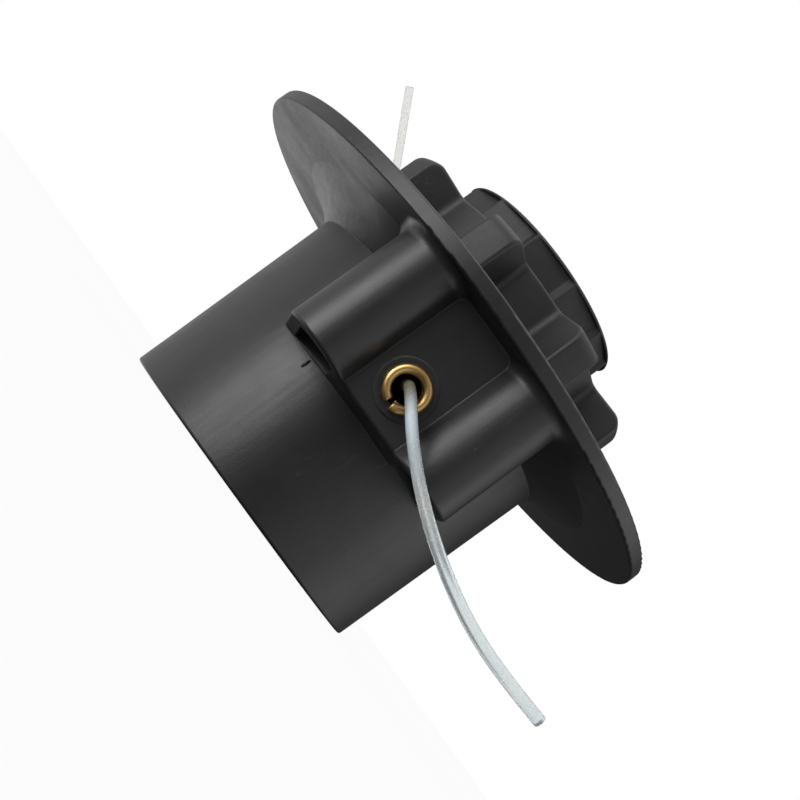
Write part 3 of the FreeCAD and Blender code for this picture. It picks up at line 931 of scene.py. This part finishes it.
@dataclass
class CapAndButton:
    """Lobed cap, and the bump button with the mark of its moulding gate."""

    cap_finish: Finish
    button_finish: Finish
    top_z: float = 58.1 * MM
    gate_r: float = 1.5 * MM
    gate_height: float = 0.30 * MM
    gate_rim: float = 0.06 * MM
    gate_rings: tuple[Span, ...] = ((0.35 * MM, -0.10 * MM), (0.50 * MM, 0.12 * MM))

    def build(self) -> None:
        """Dress the cap and the button and add the gate mark."""
        dress("cap", self.cap_finish.material())
        black = self.button_finish.material()
        dress("bump_button", black)
        finish_piece(self.gate(), "button_gate_mark", "spool", black)

    def gate(self) -> bpy.types.Object:
        """Low ring with a broken-off nib in its middle, at the top of the button."""
        return round_pad(self.gate_r, self.gate_height, (0.0, 0.0, self.top_z), 1.0, self.gate_rim,
                         self.gate_rings)


@dataclass
class FeedMechanism:
    """Spool with its wound line, and the spring and washer that hold it up."""

    spool_finish: Finish
    spring_finish: Finish
    coil_r: float = 9.15 * MM
    wire_r: float = 0.7 * MM
    wire_sides: int = 20
    half_turns: int = 13
    steps: int = 24
    foot_z: float = 14.5 * MM
    travel: float = 4.5 * MM

    def build(self, nylon: bpy.types.Material) -> None:
        """Dress the moving pieces inside the housing and coil the spring.

        Args:
            nylon: The line's finish.
        """
        dress("spool", self.spool_finish.material())
        steel = self.spring_finish.material()
        dress("thrust_washer", steel)
        dress("line_winding_lower", nylon)
        dress("line_winding_upper", nylon)
        low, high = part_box("compression_spring")
        spring = finish_piece(self.spring(low[2], high[2]), "coil_spring", "housing", steel)
        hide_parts("compression_spring")
        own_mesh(spring)

    def spring(self, low: float, high: float) -> bpy.types.Object:
        """Coil of round wire about the spindle, with closed ends.

        Args:
            low: Height of its lower end.
            high: Height of its upper end.

        Returns:
            The spring.
        """
        coil = bar_section((self.coil_r, low + self.wire_r), (self.wire_r, self.wire_r), self.wire_sides)
        rise = (high - low - 2.0 * self.wire_r) / self.half_turns
        sweep(coil, self.steps, math.pi, rise, self.half_turns)
        smooth(coil, angle=50.0)
        return coil


@dataclass
class LineEnd:
    """One free end of the nylon line, from its duct out to its cut tip.

    Attributes:
        name: The piece's name.
        node: The CAD node that it stands for.
        length: Its length, in metres; not used.
        route: The points that it bends between, in millimetres.
        diameter: Its diameter, in metres.
        roundness: Bevel resolution of its round section.
        fineness: Steps along it from point to point.
    """

    name: str
    node: str
    length: float
    route: list[Point]
    diameter: float = 1.6 * MM
    roundness: int = 8
    fineness: int = 16

    def build(self, material: bpy.types.Material) -> None:
        """Make the line as a smooth curve along its route.

        Args:
            material: The line's finish.
        """
        curve = bpy.data.curves.new(self.name, "CURVE")
        curve.dimensions = "3D"
        curve.bevel_depth = self.diameter / 2
        curve.bevel_resolution = self.roundness
        curve.use_fill_caps = True
        spline = curve.splines.new("NURBS")
        spline.points.add(len(self.route) - 1)
        for point, place in zip(spline.points, self.route):
            point.co = (*(MM * part for part in place), 1.0)
        spline.order_u = 3
        spline.use_endpoint_u = True
        spline.resolution_u = self.fineness
        line = bpy.data.objects.new(self.name, curve)
        bpy.context.scene.collection.objects.link(line)
        finish_piece(line, self.name, "housing", material)
        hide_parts(self.node)


@dataclass(frozen=True)
class Glow:
    """A soft bright patch of the studio's walls.

    Attributes:
        towards: Direction from the object to its middle.
        fade: Cosines of the angles from there at which it begins and is full.
        strength: Its brightness, where 1 is white.
    """

    towards: Point
    fade: Span
    strength: float


@dataclass(frozen=True)
class Softbox:
    """A soft lamp that faces the object.

    Attributes:
        name: The lamp's name.
        towards: Direction from the object to the lamp.
        distance: Distance from the object, in metres.
        size: Width and height, in metres.
        radiance: Brightness of its face, where 1 is white.
    """

    name: str
    towards: Point
    distance: float
    size: Span
    radiance: float

    def hang(self, target: Vector) -> None:
        """Hang the lamp so that it faces a point.

        Args:
            target: The point.
        """
        data = bpy.data.lights.new(self.name, "AREA")
        data.shape = "RECTANGLE"
        data.size, data.size_y = self.size
        data.energy = self.radiance * math.pi * self.size[0] * self.size[1]
        lamp = bpy.data.objects.new(self.name, data)
        bpy.context.scene.collection.objects.link(lamp)
        direction = Vector(self.towards).normalized()
        lamp.location = target + direction * self.distance
        lamp.rotation_mode = "QUATERNION"
        lamp.rotation_quaternion = direction.to_track_quat("Z", "Y")
        lamp.visible_camera = False
        lamp.visible_transmission = False


@dataclass
class Studio:
    """Floor, soft lamps, white surroundings and the photograph's camera."""

    look_at: Vector = field(default_factory=lambda: Vector((2.5, 0.0, 28.46)) * MM)
    eye: Vector = field(default_factory=lambda: Vector((-7.945, -206.287, 3.631)) * MM)
    roll: float = math.radians(54.02)
    lens: float = 60.93
    sensor: float = 36.0
    nearest: float = 5.0 * MM
    floor_span: float = 8.0
    floor_finish: Finish = PaleFloor("pale_floor")
    softboxes: tuple[Softbox, ...] = (
        Softbox("key", (-0.71, -0.64, 0.26), 0.55, (0.34, 0.42), 3.3),
        Softbox("near", (-0.776, -0.630, -0.048), 0.165, (0.11, 0.045), 3.8),
        Softbox("side", (0.95, -0.08, 0.20), 0.7, (0.45, 0.45), 0.6),
        Softbox("top", (-0.25, 0.15, 1.0), 0.7, (0.6, 0.6), 1.2),
    )
    glows: tuple[Glow, ...] = (
        Glow((-0.985, -0.174, 0.0), (0.60, 1.0), 0.62),
        Glow((0.990, -0.139, 0.0), (0.50, 1.0), 0.75),
        Glow((-0.290, 0.894, -0.342), (0.950, 0.990), 0.65),
        Glow((-0.659, 0.732, -0.174), (0.60, 0.90), 0.55),
        Glow((0.500, -0.866, 0.0), (0.88, 0.99), 0.48),
        Glow((-0.342, -0.940, 0.0), (0.90, 0.99), 0.32),
        Glow((0.0, 0.0, 1.0), (0.30, 0.80), 0.70),
    )
    dim: float = 0.05
    fill: float = 0.25
    fill_share: float = 0.4

    def build(self) -> None:
        """Set up everything that isn't part of the object."""
        bpy.context.scene.view_settings.view_transform = "Standard"
        self.camera()
        for softbox in self.softboxes:
            softbox.hang(self.look_at)
        self.surroundings()
        self.floor()

    def camera(self) -> None:
        """Set up the camera at the photograph's place, turn and roll."""
        data = bpy.data.cameras.new("photo_camera")
        data.lens = self.lens
        data.sensor_width = self.sensor
        data.clip_start = self.nearest
        camera = bpy.data.objects.new("photo_camera", data)
        bpy.context.scene.collection.objects.link(camera)
        camera.location = self.eye
        camera.rotation_mode = "QUATERNION"
        facing = (self.look_at - self.eye).to_track_quat("-Z", "Y")
        camera.rotation_quaternion = facing @ Quaternion((0.0, 0.0, 1.0), self.roll)
        bpy.context.scene.camera = camera

    def surroundings(self) -> None:
        """White backdrop for the camera, with the bright patches for gloss and a softer fill."""
        world = bpy.data.worlds.new("studio")
        bpy.context.scene.world = world
        world.use_nodes = True
        sheet = NodeSheet(world.node_tree)
        white = sheet.ray(Ray.CAMERA) + sheet.ray(Ray.TRANSMISSION)
        glossy = sheet.ray(Ray.GLOSSY)
        way = sheet.add("ShaderNodeTexCoord", {}, {}, "Generated")
        lit = self.dim
        for glow in self.glows:
            lit = lit + sheet.dot(way, glow.towards).ramp(glow.fade) * glow.strength
        room = lit * glossy + (1.0 - glossy) * (self.fill + lit * self.fill_share)
        strength = white + (1.0 - white) * room
        shader = sheet.add("ShaderNodeBackground", {}, {"Color": WHITE, "Strength": strength})
        sheet.add("ShaderNodeOutputWorld", {}, {"Surface": shader})

    def floor(self) -> None:
        """Lay the floor that the object stands on."""
        bpy.ops.object.select_all(action="DESELECT")
        bpy.ops.mesh.primitive_plane_add(size=self.floor_span)
        floor = bpy.context.object
        floor.name = "floor"
        floor.data.materials.append(self.floor_finish.material())
        floor.visible_glossy = False


HOUSING_BLACK = MouldedPlastic("housing_black")
FLASH_BLACK = MouldedPlastic("flash_black", tone=(0.022, 0.022, 0.022), edge_wear_and_highlight=0.0, edge_reach=0.03 * MM)
CAP_BLACK = MouldedPlastic("cap_black", grain=Grain.EVEN, edge_wear_and_highlight=0.2, roughness=0.52)
BUTTON_BLACK = MouldedPlastic("button_black", edge_wear_and_highlight=0.2, roughness=0.56, edge_reach=0.60 * MM)
SPOOL_GREY = MouldedPlastic("spool_grey", tone=(0.045, 0.045, 0.047))
LINE_NYLON = ExtrudedNylon("line_nylon")
# Paler copy of the line's nylon for the rear end; its extra paleness is painted backlight from the white
# backdrop.
BACKLIT_PAINTED_NYLON = ExtrudedNylon("line_nylon_painted_backlight", tone=(0.94, 0.95, 0.92), milk=(0.97, 0.97, 0.95),
                           grime_and_shade_end=(37.0 * MM, 39.5 * MM), rubbed_end=(39.0 * MM, 42.0 * MM))

FRONT_LINE = LineEnd("front_line", "line_end_front", 0.0563, [
    (-0.3, -29.5, 26.0),
    (-0.7, -36.8, 26.3),
    (0.8, -40.6, 25.0),
    (4.6, -43.9, 21.8),
    (10.5, -49.0, 18.0),
    (17.5, -52.8, 15.05),
    (25.0, -54.6, 13.3),
    (32.4, -54.9, 13.0),
    (38.9, -54.0, 13.5),
])
REAR_LINE = LineEnd("rear_line", "line_end_rear", 0.0744, [
    (0.9, 29.5, 25.6),
    (0.3, 34.5, 25.2),
    (-0.9, 40.2, 26.0),
    (-4.2, 45.0, 30.0),
    (-9.0, 48.2, 35.6),
    (-14.6, 50.0, 41.6),
    (-20.4, 50.7, 47.9),
    (-26.3, 50.3, 54.3),
    (-32.0, 49.0, 60.5),
    (-37.2, 47.0, 65.4),
    (-41.9, 44.5, 69.9),
])


def main() -> None:
    """Build the scene in order."""
    logging.basicConfig(level=logging.INFO, format="%(name)s: %(message)s")
    Studio().build()
    nylon = LINE_NYLON.material()
    Housing(HOUSING_BLACK, FLASH_BLACK).build()
    DriveInsert(TurnedSteel("insert_steel")).build()
    Eyelets(PressedBrass("eyelet_brass")).build()
    CapAndButton(CAP_BLACK, BUTTON_BLACK).build()
    FeedMechanism(SPOOL_GREY, TurnedSteel("spring_steel")).build(nylon)
    FRONT_LINE.build(nylon)
    REAR_LINE.build(BACKLIT_PAINTED_NYLON.material())


if __name__ == "__main__":
    main()
